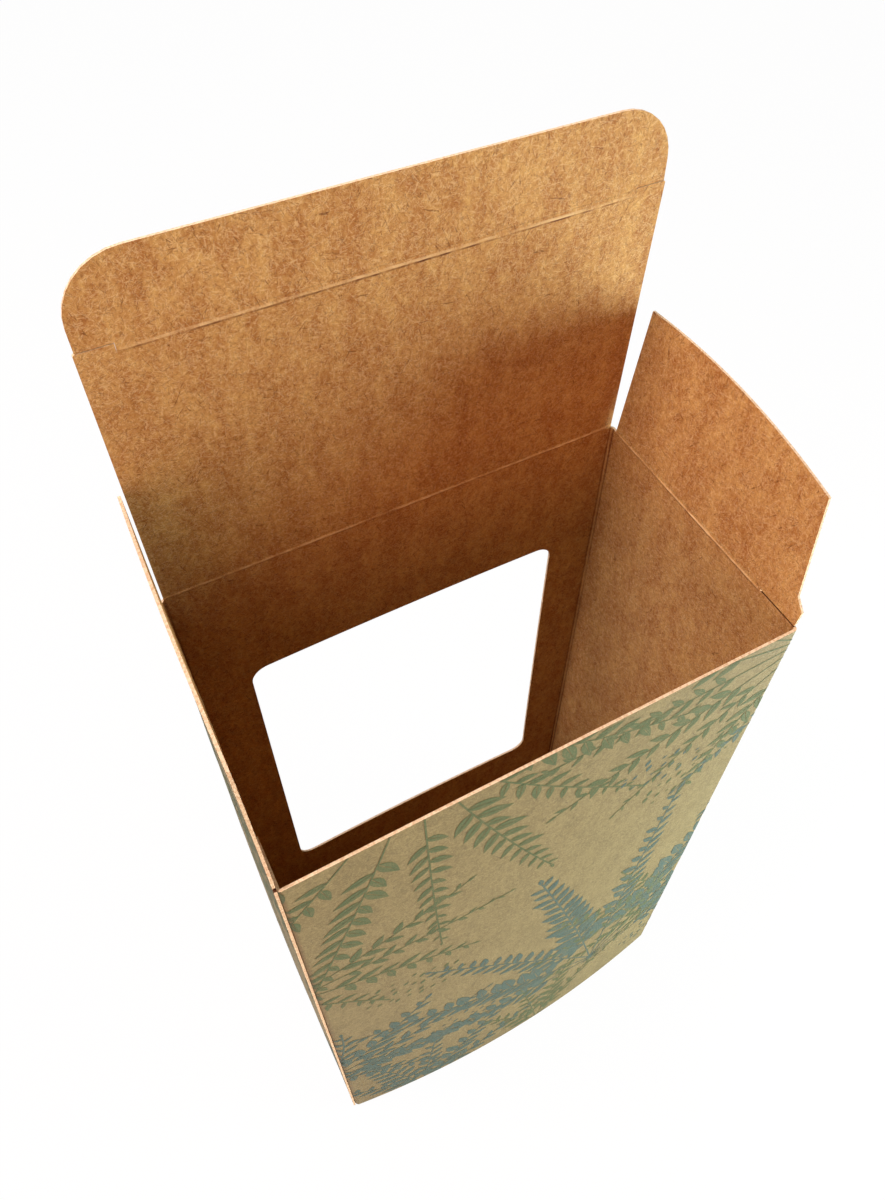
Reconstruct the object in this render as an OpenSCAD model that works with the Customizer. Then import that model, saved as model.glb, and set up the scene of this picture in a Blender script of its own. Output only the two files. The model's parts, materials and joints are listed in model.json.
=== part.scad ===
/* [Carton] */
// Outside width of the carton, left to right
carton_w = 100; // [80:1:160]
// Outside depth of the carton, front to back
carton_d = 59; // [50:1:100]
// Height of the lid's crease above the foot
carton_h = 175; // [150:1:260]
// Thickness of the board
board_t = 0.5; // [0.4:0.05:0.7]
// Outside radius of the four upright folds
fold_r = 0.8; // [0.75:0.05:1.2]
// Width of the glued flap inside the front left fold
glue_w = 12; // [8:1:16]
// Slant of the glued flap's two ends
glue_slant = 5; // [1:0.5:10]

/* [Bulge of the walls] */
// How far the foot of the front wall bows out in the middle
front_bulge = 4; // [0:0.5:6]
// How far the rear wall bows out at half its height
rear_bulge = 1.2; // [0:0.2:2]
// How far each side wall bows out at half its height
side_bulge = 1; // [0:0.2:2]

/* [Window] */
// Width of the window in the rear wall
window_w = 75.5; // [40:0.5:76]
// Height of the window
window_h = 103; // [60:1:104]
// Height of the window's sill above the foot
window_sill = 37; // [20:1:40]
// Radius of the window's corners
window_r = 4; // [1:0.5:8]

/* [Lid] */
// Distance of the lid's side edges from the carton's sides
lid_margin = 1; // [0.9:0.1:2]
// Depth of the tuck flap at the lid's far edge
tuck_l = 15; // [13:0.5:20]
// Radius of the tuck flap's free corners
tuck_r = 10; // [4:0.5:11]
// How much narrower the tuck flap is than the lid, on each side
tuck_step = 0.3; // [0.3:0.05:1]

/* [Dust flaps] */
// Length of each dust flap along its rear edge
flap_l = 31; // [24:0.5:36]
// How much shorter each dust flap is at its front edge
flap_drop = 3.5; // [0:0.5:6]
// How far the free edge of each dust flap curves out
flap_crown = 2; // [1:0.25:3]
// Distance of each dust flap's rear edge from the carton's rear face
flap_rear_gap = 2; // [2:0.25:4]
// Height of the locking shoulder at the front edge
shoulder_l = 4; // [3:0.25:6]
// Step behind the shoulder, the same along and across
shoulder_step = 2.2; // [2:0.1:4]
// How far the front edge slants back towards its tip
flap_taper = 4; // [0:0.5:8]
// Length of the cut that frees the shoulder from the side wall
shoulder_cut = 10; // [6:0.5:14]

/* [Closed foot] */
// Depth of the tuck flap that closes the foot
foot_tuck_l = 15; // [11:0.5:20]
// Length of the two dust flaps folded in over the foot
foot_flap_l = 27; // [15:1:30]

/* [Standing open] */
// Forward lean of the open lid, in degrees
lid_lean = 2; // [0:0.5:3]
// Backward lean of the tuck flap from the lid, in degrees
tuck_lean = 4; // [0:1:20]
// Outward lean of the left dust flap, in degrees
left_lean = 0; // [0:0.5:20]
// Outward lean of the right dust flap, in degrees
right_lean = 6; // [0:0.5:20]

/* [Hidden] */

inside_kraft = "#b07a45";
outside_kraft = "#b5a67e";

// Running gap between loose layers of board and round the creases
fold_gap = 0.3;
// Depth to which glued or folded layers of the sheet run into each other
bond = 0.1;
// Cuts run past the board by this much
over = 1;
// Facets of the bowed walls, of the upright folds and of the round shapes
wall_steps = 10;
fold_steps = 2;
height_steps = 8;
edge_steps = 12;
round_fn = 48;
bead_fn = 24;

half_w = carton_w / 2;
half_d = carton_d / 2;
// The side creases lie one layer and one gap below the lid's crease
side_top = carton_h - board_t - fold_gap;
// Middle planes of the side walls and of the rear wall, where the creases lie
side_plane = half_w - board_t / 2;
rear_plane = half_d - board_t / 2;
// Radius that a moving panel keeps from its crease
crease_r = board_t / 2 + fold_gap;
// From crease to crease, so that the tuck flap goes in behind the front wall
lid_l = carton_d - 2 * board_t - fold_gap;
lid_half = half_w - lid_margin;
tuck_half = lid_half - tuck_step;
// The slits take in the shoulders of the closed dust flaps
slit_inner = side_plane - shoulder_l - shoulder_step - fold_gap;
slit_rise = 1.5 * board_t + fold_gap;
// Front edge of the shoulders, measured from the carton's rear face
shoulder_u = carton_d - board_t - fold_gap;

// Share of the full bulge at a place from 0 to 1 along a wall
function bow(s) = 4 * s * (1 - s);

function foot_bulge(full, z) = full * (1 - z / side_top);

function middle_bulge(full, z) = full * bow(z / side_top);

function reversed(v) = [for (i = [len(v) - 1 : -1 : 0]) v[i]];

// A wall seen from above in its own place: along it, then outwards from its plane
function wall_line(length, bulge, inset) = [
    for (i = [0 : wall_steps])
        let (s = i / wall_steps)
        [(s - 0.5) * (length - 2 * fold_r), bulge * bow(s) - inset]
];

// The upright fold at the end of that wall
function fold_line(length, inset) = [
    for (i = [1 : fold_steps])
        let (a = 90 * i / (fold_steps + 1), r = fold_r - inset)
        [length / 2 - fold_r + r * sin(a), r * cos(a) - fold_r]
];

// Turns such a line about the carton's axis to the side that faces angle a
function on_side(line, distance, a) = [
    for (p = line)
        [p[0] * cos(a) + (distance + p[1]) * sin(a), p[0] * sin(a) - (distance + p[1]) * cos(a)]
];

function side_line(length, bulge, distance, a, inset) = concat(
    on_side(wall_line(length, bulge, inset), distance, a),
    on_side(fold_line(length, inset), distance, a)
);

// Level outline of the tube, of its outer face or pushed in by inset
function tube_line(z, inset) = [
    for (p = concat(
        side_line(carton_w, foot_bulge(front_bulge, z), half_d, 0, inset),
        side_line(carton_d, middle_bulge(side_bulge, z), half_w, 90, inset),
        side_line(carton_w, middle_bulge(rear_bulge, z), half_d, 180, inset),
        side_line(carton_d, middle_bulge(side_bulge, z), half_w, 270, inset)
    )) [p[0], p[1], z]
];

function wall_quad(a, b, c, d) = [[a, b, c], [a, c, d]];

// Closed skin of a tube, through stacks of outer and inner outlines
module tube(outer, inner) {
    levels = len(outer);
    n = len(outer[0]);
    function at(side, level, i) = (side * levels + level) * n + i % n;
    faces = [
        for (i = [0 : n - 1]) each concat(
            wall_quad(at(0, 0, i), at(0, 0, i + 1), at(1, 0, i + 1), at(1, 0, i)),
            [for (k = [0 : levels - 2]) each concat(
                wall_quad(at(0, k, i), at(0, k + 1, i), at(0, k + 1, i + 1), at(0, k, i + 1)),
                wall_quad(at(1, k, i), at(1, k, i + 1), at(1, k + 1, i + 1), at(1, k + 1, i))
            )],
            wall_quad(at(0, levels - 1, i), at(1, levels - 1, i),
                at(1, levels - 1, i + 1), at(0, levels - 1, i + 1))
        )
    ];
    polyhedron(points = [for (stack = [outer, inner]) for (line = stack) each line],
        faces = faces, convexity = 6);
}

// Closed solid through a stack of outlines
module loft(outlines) {
    levels = len(outlines);
    n = len(outlines[0]);
    function at(level, i) = level * n + i % n;
    faces = concat(
        [[for (i = [0 : n - 1]) at(0, i)]],
        [for (i = [0 : n - 1], k = [0 : levels - 2])
            each wall_quad(at(k, i), at(k + 1, i), at(k + 1, i + 1), at(k, i + 1))],
        [[for (i = [n - 1 : -1 : 0]) at(levels - 1, i)]]
    );
    polyhedron(points = [for (line = outlines) each line], faces = faces, convexity = 4);
}

// Four bowed walls, folded from one length of board
module sleeve() {
    heights = [for (k = [0 : height_steps]) side_top * k / height_steps];
    tube([for (z = heights) tube_line(z, 0)], [for (z = heights) tube_line(z, board_t)]);
}

module rounded_rect(w, h, r) {
    square([w - 2 * r, h], center = true);
    square([w, h - 2 * r], center = true);
    for (sx = [-1, 1], sy = [-1, 1])
        translate([sx * (w / 2 - r), sy * (h / 2 - r)])
            circle(r, $fn = round_fn);
}

module window_cut() {
    translate([0, half_d + rear_bulge + over, window_sill + window_h / 2])
        rotate([90, 0, 0])
            linear_extrude(board_t + rear_bulge + 2 * over)
                rounded_rect(window_w, window_h, window_r);
}

// Rounded bead that a crease leaves along the edge of a wall
module crease_bead(length) {
    rotate([0, 90, 0])
        cylinder(h = length, r = board_t / 2, center = true, $fn = bead_fn);
}

// Round clearance that a moving panel keeps from that bead
module crease_clearance(length) {
    rotate([0, 90, 0])
        cylinder(h = length, r = crease_r, center = true, $fn = bead_fn);
}

// Rear wall from the side creases up to the lid's crease
module rear_rim() {
    translate([-lid_half, half_d - board_t, side_top - bond])
        cube([2 * lid_half, board_t, carton_h - side_top + bond]);
    translate([0, rear_plane, carton_h])
        crease_bead(2 * lid_half);
}

// Beads of the side creases, which stop where the shoulders are cut free
module side_rims() {
    rear_end = half_d - flap_rear_gap;
    front_end = shoulder_cut - half_d;
    for (sx = [-1, 1])
        translate([sx * side_plane, (rear_end + front_end) / 2, side_top])
            rotate([0, 0, 90])
                crease_bead(rear_end - front_end);
}

// Flap of the sheet that is glued behind the left wall and makes it a tube
module glue_flap() {
    low = board_t + foot_tuck_l / 10;
    high = side_top - board_t - fold_gap;
    function height(k, s) = low + s * glue_slant + (high - low - 2 * s * glue_slant) * k / height_steps;
    function strip(k, inset) = [
        for (i = [0 : wall_steps])
            let (s = i / wall_steps, y = board_t / 2 + s * glue_w, z = height(k, s))
            [inset - half_w - middle_bulge(side_bulge, z) * bow(y / carton_d), y - half_d, z]
    ];
    loft([for (k = [0 : height_steps]) concat(strip(k, 2 * board_t), reversed(strip(k, board_t - bond)))]);
}

// Outline of a dust flap: from the rear face forwards, and from the crease to its tip
module dust_outline(length) {
    front_l = length - flap_drop;
    tip_u = shoulder_u - shoulder_step - flap_taper;
    free_edge = [
        for (i = [0 : edge_steps])
            let (s = i / edge_steps)
            [
                flap_rear_gap + s * (tip_u - flap_rear_gap),
                length - s * flap_drop + flap_crown * bow(s)
            ]
    ];
    polygon(concat(
        [[flap_rear_gap, 0]],
        free_edge,
        [
            [shoulder_u - shoulder_step, shoulder_l + shoulder_step],
            [shoulder_u, shoulder_l],
            [shoulder_u, 0]
        ]
    ));
}

// Panel that folds over the foot from the rear wall, with its tuck flap up inside the front wall
module foot_panel() {
    tuck_y = board_t + fold_gap - half_d;
    translate([-tuck_half, tuck_y, 0])
        cube([2 * tuck_half, carton_d - 2 * board_t - fold_gap + bond, board_t]);
    translate([0, tuck_y + board_t, 0])
        rotate([90, 0, 0])
            linear_extrude(board_t)
                intersection() {
                    rounded_rect(2 * tuck_half, 2 * foot_tuck_l, tuck_r);
                    translate([-half_w, 0])
                        square([carton_w, foot_tuck_l]);
                }
}

// The two dust flaps folded in on top of the foot panel
module foot_flaps() {
    for (sx = [-1, 1])
        mirror([sx > 0 ? 1 : 0, 0, 0])
            translate([board_t - bond - half_w, half_d, board_t])
                rotate([0, 0, -90])
                    linear_extrude(board_t)
                        dust_outline(foot_flap_l);
}

module carton_body() {
    color(outside_kraft) {
        difference() {
            sleeve();
            window_cut();
        }
        rear_rim();
        side_rims();
        glue_flap();
        foot_panel();
        foot_flaps();
    }
}

// Stands a flat outline up across the carton, centred on its own plane
module across() {
    rotate([90, 0, 0])
        linear_extrude(board_t, center = true)
            children();
}

module lid_place() {
    translate([0, rear_plane, carton_h])
        rotate([lid_lean, 0, 0])
            children();
}

// Top panel, with a free ear beyond the tuck flap's crease at each end
module lid_panel() {
    color(inside_kraft)
        lid_place() {
            difference() {
                across() {
                    translate([-lid_half, 0])
                        square([2 * lid_half, lid_l]);
                    for (sx = [-1, 1])
                        translate([sx * (lid_half + slit_inner + fold_gap) / 2, lid_l])
                            square([lid_half - slit_inner - fold_gap, 2 * slit_rise], center = true);
                }
                crease_clearance(2 * half_w);
            }
            translate([0, 0, lid_l])
                crease_bead(2 * slit_inner);
        }
}

// Flap that is tucked in behind the front wall when the lid is shut
module tuck_flap() {
    color(inside_kraft)
        lid_place()
            translate([0, 0, lid_l])
                rotate([-tuck_lean, 0, 0])
                    difference() {
                        across() {
                            intersection() {
                                rounded_rect(2 * tuck_half, 2 * tuck_l, tuck_r);
                                translate([-half_w, slit_rise + fold_gap])
                                    square([carton_w, tuck_l]);
                            }
                            translate([-slit_inner, 0])
                                square([2 * slit_inner, 2 * slit_rise]);
                        }
                        crease_clearance(2 * half_w);
                    }
}

// Right dust flap, leaning outwards from its crease
module dust_flap(lean) {
    translate([side_plane, half_d, side_top])
        rotate([0, lean, 0])
            rotate([0, 0, -90])
                difference() {
                    across()
                        dust_outline(flap_l);
                    translate([half_d, 0, 0])
                        crease_clearance(2 * carton_d);
                }
}

module dust_flap_right() {
    color(inside_kraft)
        dust_flap(right_lean);
}

module dust_flap_left() {
    color(inside_kraft)
        mirror([1, 0, 0])
            dust_flap(left_lean);
}

carton_body();
lid_panel();
tuck_flap();
dust_flap_left();
dust_flap_right();
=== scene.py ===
import json
import math

import bmesh
import bpy
import numpy as np
from mathutils import Matrix, Vector, noise
from mathutils.geometry import delaunay_2d_cdt


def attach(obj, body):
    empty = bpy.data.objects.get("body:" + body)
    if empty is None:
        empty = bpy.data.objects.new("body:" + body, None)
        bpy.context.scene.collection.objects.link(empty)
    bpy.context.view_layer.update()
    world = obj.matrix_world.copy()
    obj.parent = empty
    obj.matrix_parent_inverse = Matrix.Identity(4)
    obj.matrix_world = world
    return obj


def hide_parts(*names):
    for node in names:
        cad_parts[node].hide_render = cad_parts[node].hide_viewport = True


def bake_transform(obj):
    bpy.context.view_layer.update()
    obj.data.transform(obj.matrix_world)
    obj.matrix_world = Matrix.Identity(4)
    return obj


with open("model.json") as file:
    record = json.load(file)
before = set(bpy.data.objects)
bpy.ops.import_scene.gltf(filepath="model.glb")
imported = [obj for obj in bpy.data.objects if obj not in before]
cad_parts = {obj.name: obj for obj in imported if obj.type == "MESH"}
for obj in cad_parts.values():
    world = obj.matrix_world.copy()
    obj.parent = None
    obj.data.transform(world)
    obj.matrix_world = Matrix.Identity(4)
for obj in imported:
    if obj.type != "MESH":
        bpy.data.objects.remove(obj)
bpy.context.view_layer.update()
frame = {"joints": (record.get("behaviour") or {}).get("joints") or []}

# The camera
# A hand-held camera looks down into the open carton from in front and a little to the left,
# so near that the foot looks far smaller than the rim.
mm = 0.001
picture_height = 1200
focal_pixels = 949.3
lens_right = Vector((0.8834, -0.4684, 0.0099))
lens_down = Vector((-0.3469, -0.6682, -0.6582))
lens_ahead = Vector((0.3149, 0.578, -0.7528))
camera_place = Vector((-50.8, -83.5, 317.3)) * mm
axis_shift = (-0.0078, -0.0826)

view = bpy.data.cameras.new("camera")
view.sensor_width = 36
view.lens = view.sensor_width * focal_pixels / picture_height
view.shift_x, view.shift_y = axis_shift
view.clip_start = 0.005
camera = bpy.data.objects.new("camera", view)
bpy.context.scene.collection.objects.link(camera)
turn = Matrix((lens_right, -lens_down, -lens_ahead)).transposed().to_4x4()
camera.matrix_world = Matrix.Translation(camera_place) @ turn
bpy.context.scene.camera = camera


# The board
# One sheet of unbleached kraft board, made of long brown pine fibres. The inside is left bare and
# shows every fibre. The outside is calendered smoother and takes the two inks. Cut edges are paler.
def linear(code):
    shares = [int(code[i : i + 2], 16) / 255 for i in (1, 3, 5)]
    return [s / 12.92 if s <= 0.04045 else ((s + 0.055) / 1.055) ** 2.4 for s in shares] + [1]


def add(tree, kind, links=None, **settings):
    made = tree.nodes.new(kind)
    for name, value in settings.items():
        setattr(made, name, value)
    for key, value in (links or {}).items():
        if isinstance(value, bpy.types.NodeSocket):
            tree.links.new(value, made.inputs[key])
        else:
            made.inputs[key].default_value = value
    return made


# How far a fibre stands out of the sheet, in millimetres
fibre_height = 0.04


def board_material(name, dark, light, pale, tar, roughness, relief, ink=None):
    made = bpy.data.materials.new(name)
    made.use_nodes = True
    tree = made.node_tree
    surface = tree.nodes["Principled BSDF"]
    sheet = add(tree, "ShaderNodeUVMap", uv_map="sheet").outputs[0]
    # The sheet's own places, in millimetres
    place = add(
        tree, "ShaderNodeVectorMath", {0: sheet, "Scale": 1 / mm}, operation="SCALE"
    ).outputs[0]

    def cells(size, detail=3, rough=0.6, turn=90, stretch=1, distortion=0):
        at = add(
            tree,
            "ShaderNodeMapping",
            {
                "Vector": place,
                "Rotation": (0, 0, math.radians(turn)),
                "Scale": (size * stretch, size, 1),
                "Location": (turn * 0.37, size * 11, 0),
            },
            vector_type="TEXTURE",
        ).outputs[0]
        values = {"Vector": at, "Scale": 1, "Detail": detail}
        values |= {"Roughness": rough, "Distortion": distortion}
        return add(tree, "ShaderNodeTexNoise", values, noise_dimensions="2D").outputs[0]

    def between(value, low, high):
        values = {"Value": value, "From Min": low, "From Max": high}
        return add(tree, "ShaderNodeMapRange", values, interpolation_type="SMOOTHSTEP").outputs[0]

    def sums(a, b, operation="ADD"):
        values = {0: a, 1: b}
        return add(tree, "ShaderNodeMath", values, operation=operation, use_clamp=True).outputs[0]

    def mixed(share, a, b):
        return add(tree, "ShaderNodeMix", {0: share, 6: a, 7: b}, data_type="RGBA").outputs[2]

    # Cloudy formation and felted clumps drawn out up the sheet, down to a fuzz of 0.5 mm
    cloud = between(cells(5, 3, stretch=2.4), 0.3, 0.7)
    felt = between(cells(1.3, 4, 0.7, stretch=1.8), 0.3, 0.7)
    fuzz = between(cells(0.5, 3, 0.7, stretch=1.3), 0.25, 0.75)
    clumps = sums(sums(felt, 0.34, "MULTIPLY"), sums(fuzz, 0.32, "MULTIPLY"))
    tone = sums(sums(cloud, 0.34, "MULTIPLY"), clumps)
    colour = mixed(tone, linear(dark), linear(light))

    def strands(size, stretch, turns, low, high, share):
        whole = 0
        for turn in turns:
            whole = sums(whole, between(cells(size, 1, 0.5, turn, stretch, 1.1), low, high))
        return sums(whole, share, "MULTIPLY")

    fibres = strands(0.3, 5, (47, -21, 84, -58, 12), 0.63, 0.75, 0.42)
    colour = mixed(fibres, colour, linear(pale))
    shives = strands(0.32, 4, (14, -67, 33, 82, -38), 0.66, 0.77, 0.4)
    colour = mixed(shives, colour, linear(tar))
    hairs = strands(0.36, 9, (61, -12, 108), 0.76, 0.79, 0.6)
    colour = mixed(hairs, colour, linear(tar))
    # Where a fold or a score has rubbed the sheet, its loosened fibres show pale, which also stands
    # in as a painted highlight on the ridge, and its hollow is darkened as painted shade
    wear = add(tree, "ShaderNodeAttribute", attribute_name="wear").outputs[2]
    colour = mixed(sums(wear, 1, "MULTIPLY"), colour, linear(pale))
    colour = mixed(sums(wear, -1, "MULTIPLY"), colour, linear(tar))
    if ink:
        # Ink sinks between the fibres, so that the board shows through in a fine stipple
        stipple = sums(between(cells(0.32, 3, 0.8), 0.35, 0.6), 0.42, "MULTIPLY")
        worn = sums(between(cells(3, 2, 0.6), 0.3, 0.6), 0.12, "MULTIPLY")
        cover = sums(sums(stipple, worn), 0.46)
        colour = mixed(cover, colour, linear(ink))
    tree.links.new(colour, surface.inputs["Base Color"])
    height = sums(sums(felt, 0.5, "MULTIPLY"), sums(fibres, 0.5, "MULTIPLY"))
    values = {"Height": height, "Strength": relief, "Distance": fibre_height * mm}
    bump = add(tree, "ShaderNodeBump", values)
    tree.links.new(bump.outputs[0], surface.inputs["Normal"])
    surface.inputs["Roughness"].default_value = roughness
    surface.inputs["Specular IOR Level"].default_value = 0.3
    return made


def cut_edge_material(name, shade, light):
    made = bpy.data.materials.new(name)
    made.use_nodes = True
    tree = made.node_tree
    surface = tree.nodes["Principled BSDF"]
    place = add(tree, "ShaderNodeTexCoord").outputs["Object"]
    # Torn fibre ends of about 0.4 mm
    values = {"Vector": place, "Scale": 2500, "Detail": 3}
    ends = add(tree, "ShaderNodeTexNoise", values).outputs[0]
    values = {"Value": ends, "From Min": 0.35, "From Max": 0.6}
    share = add(tree, "ShaderNodeMapRange", values).outputs[0]
    colour = add(
        tree, "ShaderNodeMix", {0: share, 6: linear(shade), 7: linear(light)}, data_type="RGBA"
    ).outputs[2]
    tree.links.new(colour, surface.inputs["Base Color"])
    surface.inputs["Roughness"].default_value = 0.9
    surface.inputs["Specular IOR Level"].default_value = 0.2
    return made


# Bare kraft: warm brown, matt and fibrous
kraft_inside = board_material(
    "bare_kraft_board", "#985d28", "#cfa762", "#e3c893", "#5a2e12", 0.85, 0.6
)
# Calendered kraft under a thin matt varnish: greener and smoother
outer_kraft = ("#6f643b", "#8a8053", "#a49a69", "#544b2c")
kraft_outside = board_material("calendered_kraft_board", *outer_kraft, 0.62, 0.25)
# Die-cut edge: torn fibre ends catch the light and look pale
kraft_edge = cut_edge_material("die_cut_board_edge", "#cfb48c", "#eddbb8")
# Knife slit: its cut edges are coloured dark as painted shade, for the shadow between edges pressed
# together
slit_edge_painted_shade = cut_edge_material("knife_slit_edge", "#3c2212", "#5a371d")
board_finishes = [kraft_outside, kraft_inside, kraft_edge, slit_edge_painted_shade]
outer_face, inner_face, cut_face, slit_painted_shade_face = range(4)


# The four walls
# Front, sides and rear are one strip of the sheet, scored and folded at four corners. The strip's
# end is glued behind the left wall's raw front edge, and the rear wall has a round-cornered window.
crease_at = {joint["name"]: Vector(joint["pos_m"]) / mm for joint in frame["joints"]}
board_t = 0.5
clearance = 0.3
fold_r = 0.8
half_w = crease_at["right_dust_crease"].x + board_t / 2
half_d = crease_at["lid_crease"].y + board_t / 2
lid_z = crease_at["lid_crease"].z
side_z = crease_at["right_dust_crease"].z
front_bulge, rear_bulge, side_bulge = 4, 1.2, 1
raw_edge_gap = 0.3
glue_w, glue_slant, glue_foot = 12, 5, 2
window_w, window_h, window_sill, window_r = 75.5, 103, 37, 4
lid_half = half_w - 1
slot_fillet = 0.5
arc = math.pi / 2 * fold_r


def bow(share):
    share = min(max(share, 0), 1)
    return 4 * share * (1 - share)


def foot_bow(full):
    return lambda z: full * (1 - z / side_z)


def middle_bow(full):
    return lambda z: full * bow(z / side_z)


# Plan of the strip: each wall from one fold to the next, with its outward direction and bow
inner_left = half_w - board_t
wall_plan = [
    ("left", Vector((-half_w, raw_edge_gap - half_d)), Vector((0, 1)),
     2 * half_d - fold_r - raw_edge_gap, Vector((-1, 0)), middle_bow(side_bulge)),
    ("rear", Vector((fold_r - half_w, half_d)), Vector((1, 0)), 2 * (half_w - fold_r),
     Vector((0, 1)), middle_bow(rear_bulge)),
    ("right", Vector((half_w, half_d - fold_r)), Vector((0, -1)), 2 * (half_d - fold_r),
     Vector((1, 0)), middle_bow(side_bulge)),
    ("front", Vector((half_w - fold_r, -half_d)), Vector((-1, 0)), half_w + inner_left - 2 * fold_r,
     Vector((0, -1)), foot_bow(front_bulge)),
    ("glued", Vector((0.02 - inner_left, fold_r - half_d)), Vector((0, 1)), glue_w - fold_r,
     Vector((-1, 0)), middle_bow(side_bulge)),
]
wall_start = {}
reach = 0
for name, *_, length, _, _ in wall_plan:
    wall_start[name] = reach
    reach += length + arc
wall_length = {name: length for name, _, _, length, _, _ in wall_plan}
strip_end = reach - arc
fold_middles = [wall_start[name] - arc / 2 for name in ("rear", "right", "front", "glued")]


def on_walls(u, v, depth):
    """Place of a point of the strip: along it, up it, and inwards from its outer face."""
    for name, start, along, length, out, bulge in wall_plan:
        s = u - wall_start[name]
        if s <= length + arc or name == "glued":
            break
    if s <= length:
        wide = 2 * ((half_d if along.y else half_w) - fold_r)
        begin = start.y * along.y + half_d - fold_r if along.y else 0
        share = ((s + begin) if name in ("left", "glued") else s) / wide
        point = start + along * s + out * bulge(v) * bow(share)
        normal = out
    else:
        a = (s - length) / fold_r
        normal = out * math.cos(a) + along * math.sin(a)
        point = start + along * length - out * fold_r + normal * fold_r
    if depth > 0:
        depth += bead(u, v)
    return Vector((point.x - normal.x * depth, point.y - normal.y * depth, v))


# The scored folds leave a low bead on the inside, a little broken where the fibres gave way, with a
# hollow along each side of it. The bead is coloured pale for loosened fibres and as a painted
# highlight, and each hollow dark as painted shade
bead_height, bead_reach, hollow_place, hollow_reach = 0.36, 0.5, 0.88, 0.2


def broken(u, v):
    return 0.72 + 0.5 * noise.noise(Vector((u * 0.05, v * 0.45, 3.7)))


def bead(u, v):
    """It dies away at the rim, and is low at the glued corner, where the tuck flap passes."""
    near, fold = min((abs(u - m), m) for m in fold_middles)
    height = bead_height * (0.4 if fold == fold_middles[-1] else 1) * min((side_z - v) / 1.5, 1)
    return height * math.exp(-((near / bead_reach) ** 2)) * broken(u, v)


# Painted on the inner face: pale along the bead for loosened fibres and its highlight, and painted
# shade in the hollow beside it
def fold_wear_and_painted_light(u, v):
    near = min(abs(u - m) for m in fold_middles)
    painted_hollow_shade = math.exp(-(((near - hollow_place) / hollow_reach) ** 2))
    pale = math.exp(-((near / bead_reach) ** 2))
    return 0.35 * pale * broken(u, v) - 0.95 * painted_hollow_shade * broken(v, u)


def loop_inside(points, loops):
    x, y = points.T
    odd = np.zeros(len(points), bool)
    for loop in loops:
        for (x1, y1), (x2, y2) in zip(loop, loop[1:] + loop[:1]):
            if y1 != y2:
                odd ^= ((y1 > y) != (y2 > y)) & (x < (x2 - x1) * (y - y1) / (y2 - y1) + x1)
    return odd


def loop_distance(points, loops):
    near = np.full(len(points), 1e9)
    for loop in loops:
        for a, b in zip(loop, loop[1:] + loop[:1]):
            a, b = np.array(a), np.array(b)
            t = np.clip((points - a) @ (b - a) / max((b - a) @ (b - a), 1e-12), 0, 1)
            near = np.minimum(near, np.linalg.norm(points - a - t[:, None] * (b - a), axis=1))
    return near


def divided(loop, columns, rows):
    """The loop with a point wherever it crosses a column or a row."""
    made = []
    for a, b in zip(loop, loop[1:] + loop[:1]):
        cuts = {0.0}
        for k, lines in enumerate((columns, rows)):
            if abs(b[k] - a[k]) > 0.2:
                low, high = min(a[k], b[k]), max(a[k], b[k])
                cuts |= {(c - a[k]) / (b[k] - a[k]) for c in lines if low < c < high}
        kept = [t for t in sorted(cuts) if t == 0 or (t > 1e-3 and t < 1 - 1e-3)]
        made += [(a[0] + (b[0] - a[0]) * t, a[1] + (b[1] - a[1]) * t) for t in kept]
    return made


def cut_board(
    name, outline, holes, columns, rows, place, origin=(0, 0), body="carton", wear=None, slit=None
):
    """A piece of the board cut to an outline, with its two faces and its cut edge."""
    loops = [divided(loop, columns, rows) for loop in (outline, *holes)]
    grid = np.array([(u, v) for u in columns for v in rows])
    grid = grid[loop_inside(grid, loops) & (loop_distance(grid, loops) > 0.12)]
    points, edges = [], []
    for loop in loops:
        first = len(points)
        points += loop
        edges += [(first + i, first + (i + 1) % len(loop)) for i in range(len(loop))]
    points = [Vector(p) for p in points + grid.tolist()]
    flat, _, triangles, *_ = delaunay_2d_cdt(points, edges, [], 0, 1e-6)
    middles = np.array([sum((flat[i] for i in t), Vector((0, 0))) / 3 for t in triangles])
    triangles = [t for t, kept in zip(triangles, loop_inside(middles, loops)) if kept]
    sides = {}
    for t in triangles:
        for a, b in ((t[0], t[1]), (t[1], t[2]), (t[2], t[0])):
            sides[(a, b)] = True
    rim = [(a, b) for a, b in sides if (b, a) not in sides]
    n = len(flat)
    corners = [place(p.x, p.y, depth) * mm for depth in (0, board_t) for p in flat]
    faces = [tuple(t) for t in triangles] + [(c + n, b + n, a + n) for a, b, c in triangles]
    faces += [(b, a, a + n, b + n) for a, b in rim]
    finish = [outer_face] * len(triangles) + [inner_face] * len(triangles)
    # Edges along the knife slits take the dark painted-shade finish
    slits = [bool(slit) and slit(*((flat[a] + flat[b]) / 2)) for a, b in rim]
    finish += [slit_painted_shade_face if cut else cut_face for cut in slits]
    # Inner face only: fold wear with its painted highlight and painted shade
    rub_and_painted_light = [0] * n + [wear(*p) if wear else 0 for p in flat]
    sheet = [(p.x, p.y) for p in flat] * 2
    return finished_mesh(name, corners, faces, finish, sheet, origin, body, rub_and_painted_light)


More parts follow.
